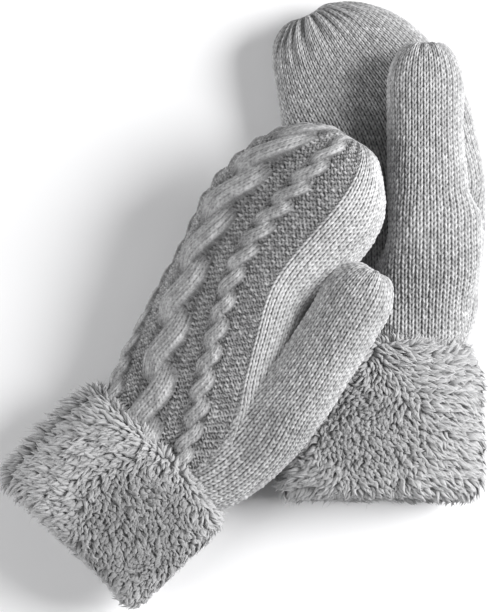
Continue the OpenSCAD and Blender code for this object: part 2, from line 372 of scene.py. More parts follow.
def purl(c, r):
    """The stockinette's back: heads and feet of loops as short slanting dashes between each other."""
    up = np.zeros(np.broadcast(c, r).shape)
    for shift, slant, size in PURL_SETS:
        col, row = np.round(c + shift), np.round(r + shift)
        for near in (-1, 0, 1):
            at = col + near
            dx = c + shift - at + 0.12 * (hashed(at, row, 8) - 0.5)
            dy = r + shift - row + 0.14 * (hashed(at, row, 9) - 0.5) - slant * dx
            uneven = 0.75 + 0.45 * hashed(at, row, shift * 2)
            crest = np.sqrt(np.maximum(0, 1 - (dx / PURL_LONG) ** 2 - (dy / PURL_WIDE) ** 2))
            up = np.maximum(up, size * uneven * crest)
    return 1.35 * STITCH_H * (up - 0.45), 0.08 + 0.95 * up


def strands(x, t):
    """The upper strand at each point: its height, how far across it, and which crossing it is from."""
    best, best_d, best_k = np.full(x.shape, -1.0), np.zeros(x.shape), np.zeros(x.shape)
    for k in (-1, 0, 1, 2):
        tau = t - np.floor(t) - k
        centre = SWING * np.sin(np.pi / 2 * np.clip(tau / 0.6, -1, 1))
        d = (x - centre) / STRAND_HALF
        over = 1 - ease((np.abs(tau) - 0.25) / 0.72)
        crown = np.sqrt(np.maximum(0, 1 - d**2))
        h = np.where(np.abs(d) < 1, (0.02 + 0.98 * over) * (0.45 + 0.55 * crown), -1)
        better = h > best
        best, best_d = np.where(better, h, best), np.where(better, d, best_d)
        best_k = np.where(better, np.floor(t) + k, best_k)
    return best, best_d, best_k


def cable(c, r, half, rows, strand_cols, height):
    """A rope of two strands, half columns to each side of c = 0, that cross every so many rows."""
    x = c / half
    best, best_d, best_k = strands(x, r / rows)
    cols = best_d * strand_cols / 2 + (0.5 if strand_cols % 2 == 0 else 0.0)
    stitch, up = stockinette(cols, r)
    shown = np.maximum(best, 0)
    streak = smooth_noise(np.stack([cols * 2.6, r * 0.45 + best_k * 5, x * 0], -1), 1.0, 8)
    up = 0.6 * up + 0.22 + 0.3 * streak
    ground, ground_up = purl(x * 3, r)
    # the rope's colour value: painted shade towards each strand's edges and where it dips under, a painted
    # highlight on the rope's right side, and painted shade on the purl ground beside the strands
    edge = ease((1 - np.abs(best_d)) / 0.3)
    lit = ease((x - 0.3) / 0.3) * ease((shown - 0.55) / 0.3)
    soft_up = (0.3 + 0.6 * up) * (0.45 + 0.55 * edge) * (0.35 + 0.65 * ease(shown * 1.5)) + 0.25 * lit * up
    rope = best > 0.16
    return (
        np.where(rope, height * shown + (0.6 * stitch + 0.35 * streak) * edge, ground - 0.4),
        np.where(rope, soft_up, ground_up * 0.6),
    )


def cable_panel(c, r, edge):
    """The back panel: a wide rope, a narrow rope at each side, and purl between them, up to c = edge."""
    a = np.abs(c)
    side = np.sign(c) + (c == 0)
    height, up = stockinette(c, r)
    ground, ground_up = purl(c, r)
    narrow, narrow_up = cable(c - NARROW_AT * side, r, **NARROW_ROPE)
    wide, wide_up = cable(c, r, **WIDE_ROPE)
    # painted shade: the purl ground, set lower, has its colour value scaled by 0.9
    for inside, h, u in (
        ((a < PURL_TO) | ((c > 0) & (c < edge)), ground - 0.9, ground_up * 0.9),
        (np.abs(a - NARROW_AT) < NARROW_ROPE["half"], narrow - 0.6, narrow_up),
        (a < WIDE_ROPE["half"], wide - 0.6, wide_up),
    ):
        height, up = np.where(inside, h, height), np.where(inside, u, up)
    return height, up


# ---- Mesh making ----
def pressed(points, near=2.0):
    """Points squeezed above the floor, as soft cloth lies on it."""
    z = points[:, 2]
    lifted = near * np.exp(np.minimum(z - near, 0) / near)
    return np.concatenate([points[:, :2], np.where(z < near, lifted, z)[:, None]], axis=1)


def add_mesh(name, points, blocks, **attributes):
    """A mesh object in metres from points in mm, arrays of quads or triangles, and values at its points."""
    mesh = bpy.data.meshes.new(name)
    loops = np.concatenate([b.ravel() for b in blocks]).astype(np.int32)
    sizes = np.concatenate([np.full(len(b), b.shape[1]) for b in blocks]).astype(np.int32)
    mesh.vertices.add(len(points))
    mesh.vertices.foreach_set("co", (pressed(np.asarray(points)) * MM).astype(np.float32).ravel())
    mesh.loops.add(len(loops))
    mesh.loops.foreach_set("vertex_index", loops)
    mesh.polygons.add(len(sizes))
    mesh.polygons.foreach_set("loop_start", np.concatenate([[0], np.cumsum(sizes)[:-1]]).astype(np.int32))
    mesh.polygons.foreach_set("loop_total", sizes)
    mesh.polygons.foreach_set("use_smooth", np.full(len(sizes), True))
    mesh.update(calc_edges=True)
    for key, values in attributes.items():
        attribute = mesh.attributes.new(key, "FLOAT", "POINT")
        attribute.data.foreach_set("value", np.asarray(values, np.float32).ravel())
    obj = bpy.data.objects.new(name, mesh)
    bpy.context.scene.collection.objects.link(obj)
    return obj


def ring_faces(rows, n):
    """Quads between rings of n points."""
    i = np.arange(rows - 1)[:, None] * n
    j = np.arange(n)[None, :]
    k = (j + 1) % n
    return np.stack([i + j, i + k, i + n + k, i + n + j], -1).reshape(-1, 4)


def fan(ring, middle):
    """Triangles from a closed ring of points to one in its middle."""
    return np.stack([ring, np.roll(ring, -1), np.full(len(ring), middle)], -1)


def kept_part(points, blocks, values):
    """Only the points that the faces use, renumbered."""
    used = np.unique(np.concatenate([b.ravel() for b in blocks]))
    index = np.full(len(points), -1)
    index[used] = np.arange(len(used))
    return points[used], [index[b] for b in blocks], [v[used] for v in values]


# ---- Knitted tubes ----
PER_COLUMN, PER_ROW = 8, 4.4  # grid points in a stitch
KNIT_LIFT = 0.6
BODY_END = 80.0  # the tips' closer stations start this far before the hand's end


def hand_ring(m, v, n=240):
    """The ring at station v of a hand."""
    tilt = math.radians(m.tip_tilt) * float(ease((v - m.tilt_from) / 85))
    if tilt == 0:
        px, pz = outline(m.hand_half(v, 0.0), n)
        return m.spot(v, px, pz)
    lean = math.tan(tilt)
    share = float(ease((v - m.tilt_from) / (m.last_station - m.tilt_from)))
    cx = m.pole_x * share
    cs = v + lean * cx
    t = np.linspace(0, 2 * np.pi, n, endpoint=False)
    dx, dz = np.sin(t) * math.cos(tilt), np.cos(t)
    ds = dx * lean
    low, high = np.zeros(n), np.full(n, 140.0)
    for _ in range(30):
        mid = (low + high) / 2
        s, x, z = cs + ds * mid, cx + dx * mid, dz * mid
        out = (section_depth(x, z, m.hand_half(s, 0.0)) > 0) | (s > m.hand_l)
        low, high = np.where(out, low, mid), np.where(out, mid, high)
    return m.spot(cs + ds * low, cx + dx * low, dz * low)


def find_pole(m):
    """Where the tilted rings of a hand's tip close."""
    s = np.linspace(m.hand_l - 90, m.hand_l - 0.05, 2000)
    little = m.hand_half(s, 0.0)[0]
    lean = math.tan(math.radians(m.tip_tilt))
    best = np.argmax(s + lean * little)
    m.last_station = float(s[best] + lean * little[best]) - 0.15
    m.pole_x = -float(little[best]) + 0.8


def knit_grid(ring_at, stations, columns, turn_at):
    """Grid of rings with a grid line along each column's middle: points, columns, rows."""
    n = columns * PER_COLUMN

    def points_at(v):
        return spread(ring_at(v), n, turn_at(v))

    p = np.stack([points_at(v) for v in even_stations(points_at, stations, ROW_H / PER_ROW)])
    c = np.arange(n) / PER_COLUMN
    c = np.broadcast_to(np.where(c > columns / 2, c - columns, c), p.shape[:2])
    step = np.linalg.norm(np.diff(p, axis=0), axis=-1)
    r = np.concatenate([np.zeros((1, n)), np.cumsum(step, axis=0)]) / ROW_H
    return p, c, r


def column_width(p):
    """Width of each point's column, as a share of a full column."""
    around = np.linalg.norm(np.roll(p, -1, axis=1) - p, axis=-1) * PER_COLUMN
    return np.clip(around / COLUMN_W, 0.05, 1.15)


def join_reach(m, p):
    """How wide the soft join between the hand and the thumb is: widest towards the cuff."""
    s = m.locate(p)[0]
    return (m.join_least + m.join_extra * (1 - ease((s - 50) / 50))) * ease((s + 12) / 30) + 0.1


def fillet(depth, reach):
    """How far a surface swells near another one that it joins."""
    return 0.3 * reach * np.maximum(0, 1 - np.abs(depth) / reach) ** 2


def gathers(c, to_go, width, columns_each, depth, reach, pucker):
    """Pleats that run into a drawn-up tip, and the pucker at its middle. to_go is mm to the tip."""
    wave = np.cos(2 * np.pi * c / columns_each + 1.6 * np.sin(c * 0.45))
    uneven = 0.7 + 0.6 * hashed(np.round(c / columns_each), c * 0, c * 0)
    deep = depth * uneven * ease(1 - to_go / reach) * ease(to_go / 9) * clamp01(width * 2.2)
    return deep * (wave - 0.15) - pucker * bell(to_go, 6.5)


def finish_tube(name, p, c, r, up, keep):
    """A mesh from a tube's displaced grid with the kept faces only, closed at its far end."""
    n = p.shape[1]
    points = np.vstack([p.reshape(-1, 3), p[-1].mean(axis=0)])
    cap = fan((len(p) - 1) * n + np.arange(n), len(points) - 1)
    # painted shade and light for the knit's colour: darker where a stitch lies low, lighter where up carries
    # painted highlights
    relief = np.append(np.clip(up.ravel(), 0, 1.2) / 1.2, 0.4)
    tone = np.append(hashed(np.round(c), np.floor(r), 3).ravel(), 0.5)
    blocks = [ring_faces(len(p), n)[keep.ravel()], cap[keep[-1]]]
    points, blocks, (relief, tone) = kept_part(points, blocks, [relief, tone])
    return add_mesh(name, points, blocks, relief=relief, tone=tone)


def face_any(mask):
    """For each face of a grid of rings, whether any of its points is in the mask."""
    m = mask | np.roll(mask, -1, axis=1)
    return m[:-1] | m[1:]


def tip_stations(start, turn, rest, before, after, first):
    """Stations from start to turn, and closer ones over the rest of the way to the tip."""
    closer = turn + rest * np.sin(np.linspace(first, np.pi / 2, after))
    return np.concatenate([np.linspace(start, turn, before), closer])


def build_knit_hand(m):
    """The hand in two pieces, parted beside the cable panel."""
    body_ring = outline(m.hand_half(m.hand_l - BODY_END, 0.0), 400)
    girth = np.linalg.norm(np.diff(np.stack(body_ring, -1), axis=0), axis=1).sum()
    rest = m.last_station - m.hand_l + BODY_END
    p, c, r = knit_grid(
        lambda v: hand_ring(m, v), tip_stations(-10, m.hand_l - BODY_END, rest, 30, 40, 0.04), m.columns,
        lambda v: m.panel_turn + float(along(v, m.panel_keys)) / girth,
    )
    in_thumb = depth_in_thumb(m, p)
    to_go = (r[-1] - r) * ROW_H
    width = column_width(p)
    swell = fillet(in_thumb, join_reach(m, p)) + 1.3 * smooth_noise(p, 34, 3) * ease(to_go / 30)
    swell = swell + gathers(c, to_go, width, m.pleat_columns, m.pleat_depth, m.pleat_reach, m.pucker)
    for place, deep, reach in m.dimples:
        swell = swell - deep * bell(np.linalg.norm(p - m.spot(*place), axis=-1), reach)
    panel, plain = cable_panel(c, r, m.panel_edge), stockinette(c, r)
    on_panel = (c > -PANEL_TO) & (c < m.panel_edge + 0.4)
    height, up = (np.where(on_panel, a, b) for a, b in zip(panel, plain))
    # painted light: the plain knit beside the cable panel is made paler, fading out towards the cuff and the
    # tip
    beside = ease((c - 15.0) / 2.5) * (1 - 0.9 * ease((c - 19.0) / 8))
    up = up + m.pale * beside * ease((r * ROW_H - 20) / 40) * ease(to_go / 30)
    height = height * np.clip(width, 0.25, 1) * ease((to_go + 1) / 8)
    p = p + grid_normals(p) * (KNIT_LIFT + swell + height)[..., None]
    keep = face_any(in_thumb > -3.0)
    n = p.shape[1]
    first = np.abs(np.arange(n) / PER_COLUMN - m.columns / 2) > m.columns / 2 - m.split_column
    return [
        finish_tube(f"{m.name}_knit_{part}", p, c, r, up, keep & mask[None, :])
        for part, mask in (("cable_side", first), ("plain_side", ~first))
    ]


def build_knit_thumb(m):
    """The thumb's tube, from inside the hand to its gathered tip."""

    def ring_at(s):
        px, pz = outline(m.thumb_half(s, 0.0), 200)
        sink = 3.0 * (1 - ease((s + 9) / 30))
        return m.spot(s, px + m.thumb_x(s), pz + m.thumb_z(s) - math.copysign(sink, m.thumb_low))

    p, c, r = knit_grid(
        ring_at, tip_stations(-9, m.thumb_l - 30, 29.8, 34, 24, 0.05), m.thumb_columns, lambda s: 0.0)
    in_hand = depth_in_hand(m, p)
    to_go = (r[-1] - r) * ROW_H
    width = column_width(p)
    swell = fillet(in_hand, join_reach(m, p)) + 0.9 * smooth_noise(p, 28, 5) * ease(to_go / 20)
    swell = swell + gathers(c, to_go, width, columns_each=4, depth=1.6, reach=20, pucker=2.2)
    height, up = stockinette(c, r)
    p = p + grid_normals(p) * (KNIT_LIFT + swell + height * np.clip(width, 0.25, 1))[..., None]
    return finish_tube(f"{m.name}_knit_thumb_tube", p, c, r, up, face_any(in_hand > -2.5))


# ---- Pile cuffs ----
CUFF_COLUMNS = 200
LOCK_CLUMP, HAIR_CLUMP = 5.2, 3.0  # mm across a clump
CLUMPING = 0.7  # how much locks lean to their clump's middle
LOCKS = dict(thick=(0.95, 1.55), ridges=3, levels=5, longer=1.0)
HAIRS = dict(thick=(0.12, 0.18), ridges=1, levels=4, longer=1.25)
HAIR_GAP = 1.5  # times the locks' gap
TUFT_FLAT = 0.8
SEAM_CLEAR = 0.7  # no tufts this close to a side seam


def cuff_grid(m, n):
    """Rings over a cuff's backing: from the knit, round the outside, into the mouth and back inside."""
    d = m.cuff_d - m.cuff_trim
    path = [  # distance, share moved in to the knit or the mouth, inset from the pile's outer surface
        (2.5, 0.95, 0.0), (2.2, 0.5, 2.0), (0.0, 0.0, 4.0), (-4, 0.0, 3.4), (-d / 2, 0.0, 3.0),
        (7 - d, 0.0, 3.2), (2.5 - d, 0.0, 4.0), (1.2 - d, 0.4, 2.0), (1.6 - d, 0.8, 0.0), (5 - d, 1.0, 0.0),
    ]
    s, w, inset = np.array(path).T
    length = summed(np.hypot(np.diff(s), np.diff(w) * 10))
    at = np.linspace(0, length[-1], 60)
    rings = []
    for sk, wk, ik in zip(*(np.interp(at, length, v) for v in (s, w, inset))):
        little, thumb, face = m.cuff_half(sk)
        thumb = thumb - m.corner * (ease((sk + 22) / 22) + ease((12 - m.cuff_d - sk) / 12))
        outer = np.stack(outline([h - ik for h in (little, thumb, face)], 400, CUFF_BULK), -1) + [-1, 0]
        inner_gap = 0.2 if sk > -d / 2 else LINING_IN
        inner = np.stack(outline(m.hand_half(sk, inner_gap), 400), -1)
        x, z = ((1 - wk) * outer + wk * inner).T
        rings.append(spread(m.spot(sk, x, z), n))
    return np.stack(rings), length[-1]


def tuft_meshes(root, normal, flow, length, radius, phase, curly, stand, ridges, levels):
    """Curved, ridged locks: points, quads, caps, how far along a point is, its ridge, points in each."""
    count, around = len(root), ridges * 2 if ridges > 1 else 3
    root, normal, flow = (v[:, None] for v in (root, normal, flow))
    length, radius, phase, curly, stand = (v[:, None, None] for v in (length, radius, phase, curly, stand))
    t = np.linspace(0, 1, levels + 1)[:-1, None]
    start = (0.8 + 0.4 * stand) * normal + 0.5 * flow
    bend = (1 - 0.35 * curly) * flow + (0.7 * stand - 0.45 * curly) * normal - start
    tangent = start + t * bend
    side = unit(np.cross(tangent, normal))
    over = unit(np.cross(side, tangent))
    curl = (0.1 + 0.22 * curly) * length * np.sin(phase) * np.sin(np.pi * t)
    centre = root + length * (t * start + t**2 / 2 * bend) + curl * side
    tip = root + length * (start + bend / 2) * 1.02
    number = np.arange(around)
    ridge = np.where(number % 2 == 0, 1.2, 0.7) if ridges > 1 else np.ones(around)
    r = radius * (0.75 + 0.45 * np.sin(np.pi * np.minimum(t * 1.3, 1))) * (1 - t) ** 0.5 * ridge
    twist = phase + 1.3 * t + 2 * np.pi * number / around
    points = (
        centre[:, :, None]
        + (r * np.cos(twist) * (2 - TUFT_FLAT))[..., None] * side[:, :, None]
        + (r * np.sin(twist) * TUFT_FLAT)[..., None] * over[:, :, None]
    )
    points = np.concatenate([points.reshape(count, -1, 3), tip], axis=1)
    per = levels * around + 1
    first = (np.arange(count) * per)[:, None, None]
    quads, cap = ring_faces(levels, around) + first, fan((levels - 1) * around + number, per - 1) + first
    shares = np.append(np.repeat(t, around), 1.0)
    ridge_up = np.append(np.tile((ridge - 0.7) / 0.5, levels), 0.8)
    return (
        points.reshape(-1, 3), quads.reshape(-1, 4), cap.reshape(-1, 3),
        np.tile(shares, count), np.tile(ridge_up, count), per,
    )


def grid_sampler(grid_shape, u, v):
    """A function that reads a grid of rings at shares u round and v along."""
    rows, n = grid_shape
    gi = np.clip(v * (rows - 1), 0, rows - 1.001)
    a, b = np.floor(gi).astype(int), np.floor(u * n).astype(int) % n
    fa, fb = (gi - a)[:, None], (u * n - np.floor(u * n))[:, None]

    def sample(g):
        near = (1 - fb) * g[a, b] + fb * g[a, (b + 1) % n]
        far = (1 - fb) * g[a + 1, b] + fb * g[a + 1, (b + 1) % n]
        return (1 - fa) * near + fa * far

    return sample


def scattered(length, girth, gap):
    """Shares u round and v along a cuff's grid, for roots about gap apart."""
    rows, per_row = int(length / (gap * 0.86)), int(girth / gap)
    i, j = (g.ravel() for g in np.meshgrid(np.arange(rows), np.arange(per_row), indexing="ij"))
    u = (j + 0.5 * (i % 2) + rng.uniform(-0.4, 0.4, i.shape)) / per_row % 1.0
    v = clamp01((i + 0.5 + rng.uniform(-0.4, 0.4, i.shape)) / rows)
    return u, v


def combed_flow(m, root, nor, down, across):
    """How locks lie and how far each is combed: curled tightly at one place, combed outward from there."""
    away = root - m.spot(*m.curly_at, m.cuff_t / 2)
    combed = ease((np.linalg.norm(away, axis=1) - m.curly_size) / 30)
    sideways = np.clip(np.sum(away * across, axis=1) / 18, -1, 1)
    flow = unit((1 - (1 - m.comb_down) * combed)[:, None] * down + (combed * sideways)[:, None] * across)
    swirl = (m.pile_lean + 1.3 * smooth_noise(root, 24, 1)) * (1 - 0.75 * combed)
    swirl = swirl + 0.8 * smooth_noise(root, 10, 2) * (1 - 0.4 * combed)
    swirl = swirl + rng.uniform(-0.25, 0.25, len(root))
    return np.cos(swirl)[:, None] * flow + np.sin(swirl)[:, None] * np.cross(nor, flow), combed


def in_clumps(u, v, root, length, girth, clump):
    """Each root's clump, how many clumps there are, and the middle of each root's clump."""
    row = np.floor(v * length / clump)
    cell = np.floor(u * girth / clump + 0.5 * (row % 2) + 0.5 * smooth_noise(root, 9, 7)).astype(int)
    key = np.unique(row * 4096 + cell, return_inverse=True)[1].ravel()
    size = np.bincount(key)
    middle = np.stack([np.bincount(key, root[:, k]) / size for k in range(3)], -1)
    return key, len(size), middle[key]


def from_seams(m, share):
    """Signed distance round the cuff from the nearest side seam, as a share, and which seam that is."""
    away = (share[:, None] - np.array(m.cuff_seams)[None, :] + 0.5) % 1.0 - 0.5
    nearest = np.argmin(np.abs(away), axis=1)
    return away[np.arange(len(share)), nearest], nearest


def is_top(m, share):
    """Whether a share of the way round the cuff is on its top panel."""
    first, second = m.cuff_seams
    return ((share - first) % 1.0) > ((second - first) % 1.0)


def pile_roots(m, p, path, girth, gap, clump):
    """Where locks grow on a cuff and how they lie: a dict of arrays. Locks lean together in clumps."""
    normal = grid_normals(p)
    if np.sum((p[20, 0] - p[20].mean(axis=0)) * normal[20, 0]) < 0:
        normal = -normal
    u, v = scattered(path, girth, gap)
    sample = grid_sampler(p.shape[:2], u, v)
    root, nor, down = sample(p), unit(sample(normal)), unit(sample(np.gradient(p, axis=0)))
    across = np.cross(nor, down)
    flow, combed = combed_flow(m, root, nor, down, across)
    key, count, middle = in_clumps(u, v, root, path, girth, clump)
    shift = rng.uniform(-0.4, 0.4, count)[key]
    flow = unit(flow + np.sin(shift)[:, None] * across + CLUMPING * (middle - root) / clump)
    length = rng.uniform(5.6, 7.6, len(u)) * (0.8 + 0.4 * rng.uniform(0, 1, count)[key])
    length = length * (1 + 0.35 * combed)
    # the side seams part the pile: the left one lies in a groove with a standing band below it
    share, nearest = from_seams(m, u)
    off_seam = share * girth
    top, by_band = is_top(m, u), (nearest == 1) * m.side_band
    parted = np.where(nearest == 1, 1.2 - 1.3 * m.side_band, 1.2)
    flow = flow + (parted * np.sign(off_seam) * bell(off_seam, 5.0))[:, None] * across
    band = np.where(top, 0.0, bell(off_seam, 13.0)) * by_band
    dip = bell(off_seam, 3.5) * by_band
    edge = ease((0.85 - np.abs(nor[:, 2])) / 0.6) * m.edge_stand
    # the fold's pile stands up over the knit, and the mouth's is short
    rim = ease(1 - v * path / 14)[:, None]
    flow = flow * (1 - rim) - 1.4 * down * rim
    in_mouth = ease((v * path - path + 12) / 6)
    flow = unit(flow - np.sum(flow * nor, axis=1, keepdims=True) * nor)
    return dict(
        root=root + nor * (0.8 * edge + 1.6 * band - 1.3 * dip - 0.6)[:, None], flow=flow, normal=nor,
        length=length * (1 - 0.5 * in_mouth) * (1 - 0.3 * rim[:, 0]) * (1 - 0.45 * dip), curly=1 - combed,
        stand=0.8 * band + 0.35 * edge, shade=1 - 0.6 * dip**4, top=top, clear=np.abs(off_seam) > SEAM_CLEAR,
    )


def grow(m, q, chosen, thick, ridges, levels, longer):
    """The chosen roots' tufts: points, face blocks and the material's values."""
    k = chosen.sum()
    points, quads, caps, share_along, ridge, per = tuft_meshes(
        q["root"][chosen], q["normal"][chosen], q["flow"][chosen], q["length"][chosen] * longer,
        rng.uniform(*thick, k), rng.uniform(0, 6.3, k), q["curly"][chosen], q["stand"][chosen],
        ridges, levels,
    )
    shade = np.repeat(q["shade"][chosen], per)
    # painted shade: curled pile takes a darker colour value than combed pile
    curled, combed = m.pile_tones
    tone = 0.35 * rng.uniform(0, 1, k) + combed + (curled - combed) * q["curly"][chosen]
    # the tufts' colour values: painted shade towards each root through share_along, softened by pile_soft,
    # and the painted shade of a seam's groove through shade
    return points, (quads, caps), (
        (m.pile_soft + (1 - m.pile_soft) * share_along) * shade, ridge * shade, np.repeat(tone, per) * shade,
    )


def build_cuff(m):
    """The two pile panels of a cuff: backing with thousands of curved locks and loose fibres."""
    n = CUFF_COLUMNS
    p, path = cuff_grid(m, n)
    girth = np.linalg.norm(np.roll(p[25], -1, axis=0) - p[25], axis=1).sum()
    locks = pile_roots(m, p, path, girth, m.tuft_gap, LOCK_CLUMP)
    hairs = pile_roots(m, p, path, girth, m.tuft_gap * HAIR_GAP, HAIR_CLUMP)
    share = (np.arange(n) + 0.5) / n
    from_seam = np.abs(from_seams(m, share)[0]) * girth
    inward = unit(p.mean(axis=1, keepdims=True) - p)
    backing = p + inward * bell(from_seam, 2.5)[None, :, None]
    pieces = []
    for part in ("top", "under"):
        is_part = is_top(m, share) == (part == "top")
        faces = ring_faces(len(backing), n)[np.tile(is_part, len(backing) - 1)]
        points, blocks, _ = kept_part(backing.reshape(-1, 3), [faces], [])
        all_points, base = [points], len(points)
        # painted shade: the backing under the tufts takes the roots' darkest colour values
        values = [(np.zeros(base), np.full(base, 0.2), np.full(base, 0.3))]
        for q, kind in ((locks, LOCKS), (hairs, HAIRS)):
            points, tufts, tuft_values = grow(m, q, (q["top"] == (part == "top")) & q["clear"], **kind)
            blocks += [faces + base for faces in tufts]
            all_points.append(points)
            values.append(tuft_values)
            base += len(points)
        along, ridge, tone = (np.concatenate(v) for v in zip(*values))
        points = np.vstack(all_points)
        name = f"{m.name}_cuff_{part}_pile"
        pieces.append(add_mesh(name, points, blocks, along=along, ridge=ridge, tone=tone))
    return pieces


# ---- Linings ----
def build_lining(m, part):
    """A fleece bag: napped inside, plain outside, joined at its mouth, open where hand and thumb meet."""
    n, thumb = 160, part == "thumb"
    length = (m.thumb_l if thumb else m.hand_l) - TIP_POCKET
    start = -8.0 if thumb else 5.0 - m.cuff_d
    walls, keeps = [], []
    for inset in (LINING_IN - 0.4, KNIT_T + 0.6):
        end = length - inset
        rings = []
        for s in tip_stations(start, end - 25, 24.7, 76, 18, 0.08):
            x, z = outline((m.thumb_half if thumb else m.hand_half)(s, inset, TIP_POCKET), 300)
            if thumb:
                x, z = x + m.thumb_x(s), z + m.thumb_z(s)
            rings.append(spread(m.spot(s, x, z), n))
        wall = np.stack(rings)
        depth = (depth_in_hand if thumb else depth_in_thumb)(m, wall, inset)
        walls.append(wall)
        keeps.append(depth > -1.2)
    inner, outer = walls
    nap = 0.42 * smooth_noise(inner, 2.2, 4) + 0.35 * smooth_noise(inner, 5, 6)
    inner = inner + grid_normals(inner) * nap[..., None] * 0.8
    p = np.concatenate([inner[::-1], outer])
    keep = face_any(np.concatenate([keeps[0][::-1], keeps[1]])).ravel()
    points = np.vstack([p.reshape(-1, 3), p[0].mean(axis=0), p[-1].mean(axis=0)])
    k, first = len(points) - 2, np.arange(n)
    caps = [fan(first, k)[:, [1, 0, 2]], fan(first + k - n, k + 1)]
    points, blocks, _ = kept_part(points, [ring_faces(len(p), n)[keep], *caps], [])
    return add_mesh(f"{m.name}_lining_{part}", points, blocks)


# ---- Yarns, seams and labels ----
def yarn(name, path, thickness, closed=False, plies=3):
    """A twisted yarn along a path."""
    path = np.asarray(path, float)
    step = np.diff(np.vstack([path, path[:1]]) if closed else path, axis=0)
    length = summed(np.linalg.norm(step, axis=1))
    lay = thickness * 2.2  # a ply's length for one turn
    if closed:
        ahead = np.roll(path, -1, axis=0) - np.roll(path, 1, axis=0)
        turn = np.round(length[-1] / (lay * plies)) * plies * 2 * np.pi * (length[:-1] / length[-1])[:, None]
    else:
        ahead = np.gradient(path, axis=0)
        turn = (length / lay * 2 * np.pi)[:, None]
    ahead = unit(ahead)
    out = unit(np.cross(ahead, [0.02, 0.01, 1.0]))
    up = np.cross(out, ahead)
    around = plies * 5
    a = 2 * np.pi * np.arange(around) / around
    r = thickness / 2 * (0.86 + 0.14 * np.cos(plies * a + turn))
    p = path[:, None] + (r * np.cos(a))[..., None] * out[:, None] + (r * np.sin(a))[..., None] * up[:, None]
    points, blocks = p.reshape(-1, 3), [ring_faces(len(path), around)]
    first = np.arange(around)
    last = first + (len(path) - 1) * around
    if closed:
        blocks.append(np.stack([last, np.roll(last, -1), np.roll(first, -1), first], -1))
    else:
        k = len(points)
        points = np.vstack([points, path[:1], path[-1:]])
        blocks += [fan(first, k)[:, [1, 0, 2]], fan(last, k + 1)]
    return add_mesh(name, points, blocks)


def draw_ring(name, m, s, x, z, ring_r):
    """A tip's draw yarn: a tight ring across the tube's direction."""
    centre, before = m.spot(s, x, z), m.spot(s - 1, x, z)
    axis = unit(centre - before)
    side = unit(np.cross(axis, [0, 0, 1.0]))
    other = np.cross(side, axis)
    t = 2 * np.pi * np.arange(48) / 48
    ring = centre + ring_r * (np.cos(t)[:, None] * side + np.sin(t)[:, None] * other)
    return yarn(name, ring, 1.8, closed=True)


def joined(name, pieces):
    """One object from several meshes."""
    with bpy.context.temp_override(active_object=pieces[0], selected_editable_objects=pieces):
        bpy.ops.object.join()
    pieces[0].name = pieces[0].data.name = name
    return pieces[0]


def build_seams(m):
    """Overcast thread round the fold, and zigzags up both sides of the cuff."""
    t = np.arange(900) / 900
    wave = np.sin(2 * np.pi * 90 * t)
    x, z = outline(m.hand_half(-1.0, 1.4), 900)
    fold = yarn("fold_thread", m.spot(-1.0 + 0.6 * wave, x, z), 0.7, closed=True)
    sides = []
    for sign in (-1, 1):
        reach = (m.little_side if sign < 0 else m.thumb_side)[0][1]
        s = np.linspace(8 - m.cuff_d, -8, 240)
        x = sign * (reach + 3.5 + 1.2 * np.sin(s * 2.1))
        sides.append(yarn(f"side_thread_{sign}", m.spot(s, x, 0.12 * np.cos(s * 2.1)), 0.6))
    return joined(f"{m.name}_seam_threads", [fold, *sides])


def build_label(m):
    """A blank woven label sewn to the lining, and its four rows of stitches."""
    wide, long = LABEL_SIZE
    u, v = np.meshgrid(np.linspace(-wide / 2, wide / 2, 34), np.linspace(-long / 2, long / 2, 44))
    floor_z = LINING_IN - 0.4 - m.wrist_t / 2

    def lifted(u, v, gap):
        rise = 0.25 * np.cos(u * 0.55) * np.cos(v * 0.33) + 0.12 * np.sin(v * 0.9 + u * 0.3)
        edge = ease(np.minimum(wide / 2 - np.abs(u), long / 2 - np.abs(v)) / 2.5)
        return m.spot(v - 24.0, u, floor_z + gap + rise * edge)

    rows, cols = u.shape
    index = np.arange(rows * cols).reshape(rows, cols)
    sheet = np.stack([index[:-1, :-1], index[:-1, 1:], index[1:, 1:], index[1:, :-1]], -1).reshape(-1, 4)
    rim = np.concatenate([index[0], index[1:, -1], index[-1, -2::-1], index[-2:0:-1, 0]])
    k = rows * cols
    border = np.stack([np.roll(rim, -1), rim, rim + k, np.roll(rim, -1) + k], -1)
    points = np.vstack([lifted(u, v, gap).reshape(-1, 3) for gap in (1.25, 0.95)])
    label = add_mesh(f"{m.name}_label", points, [sheet, sheet[:, ::-1] + k, border])
    corners = ((-1, -1), (1, -1), (1, 1), (-1, 1), (-1, -1))
    du, dv = wide / 2 - 1.2, long / 2 - 1.2
    t = np.linspace(0, 1, 200)
    stitches = []
    for k, ((au, av), (bu, bv)) in enumerate(zip(corners, corners[1:])):
        length = 2 * (du if av == bv else dv)
        gap = 1.2 + 0.28 * np.abs(np.sin(np.pi * t * round(length / 2.2))) ** 0.5
        path = lifted((au + (bu - au) * t) * du, (av + (bv - av) * t) * dv, gap)
        stitches.append(yarn(f"stitch_{k}", path, 0.45, plies=2))
    return label, joined(f"{m.name}_label_stitches", stitches)


